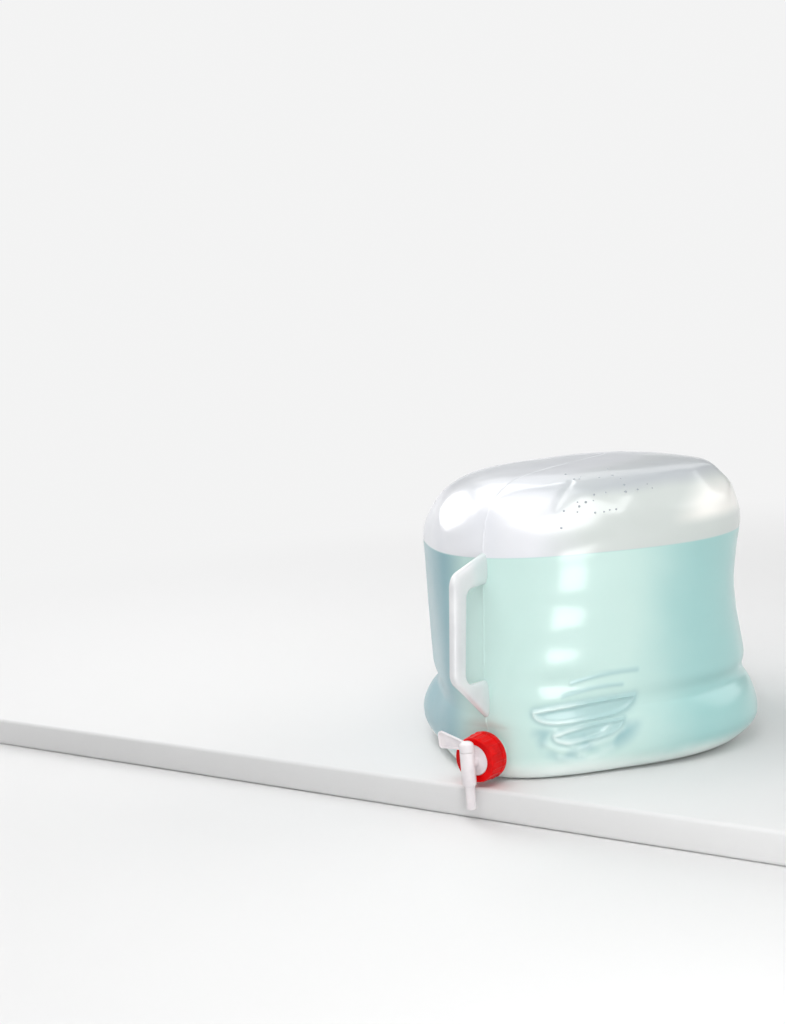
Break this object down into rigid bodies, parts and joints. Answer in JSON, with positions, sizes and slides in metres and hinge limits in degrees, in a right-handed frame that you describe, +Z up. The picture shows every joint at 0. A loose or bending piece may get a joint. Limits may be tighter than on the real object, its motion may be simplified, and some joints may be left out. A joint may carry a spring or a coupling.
{
  "type": "collapsible water container",
  "caption": "Soft-walled cube-shaped water container with moulded grips on opposite corners and a screw-on quarter-turn tap at its foot.",
  "frame": {"origin": "middle of the flat base, on the surface that the container stands on", "axes": "+Z up, -Y the way the tap points, X = 0 the parting plane through both grips"},
  "size_m": [0.3434, 0.4414, 0.2885],
  "materials": {
    "polyethylene": "translucent milky low-density polyethylene, softly glossy",
    "red_plastic": "opaque red polypropylene, glossy",
    "white_plastic": "opaque white polypropylene, glossy",
    "washer_rubber": "soft pale elastomer"
  },
  "bodies": {
    "container": {"container_shell": "polyethylene", "front_handle": "polyethylene", "rear_handle": "polyethylene"},
    "washer": {"neck_gasket": "washer_rubber"},
    "ring": {"cap_ring": "red_plastic"},
    "tap": {"spigot_body": "white_plastic"},
    "plug": {"valve_plug": "white_plastic"}
  },
  "joints": [
    {"name": "tap_slide", "type": "slide", "parent": "container", "child": "washer", "axis": [0, -1, 0], "range_m": [0, 0.0084]},
    {"name": "cap_turn", "type": "hinge", "parent": "washer", "child": "ring", "pos_m": [0, -0.192, 0.026], "axis": [0, -1, 0], "range_deg": [0, 720]},
    {"name": "tap_swivel", "type": "hinge", "parent": "washer", "child": "tap", "pos_m": [0, -0.192, 0.026], "axis": [0, -1, 0], "range_deg": [-180, 180]},
    {"name": "valve_turn", "type": "hinge", "parent": "tap", "child": "plug", "pos_m": [0, -0.2077, 0.026], "axis": [0, 0, 1], "range_deg": [0, 90]}
  ],
  "couplings": [
    {"joint": "cap_turn", "follows": "tap_slide", "rad_per_m": 1496}
  ]
}
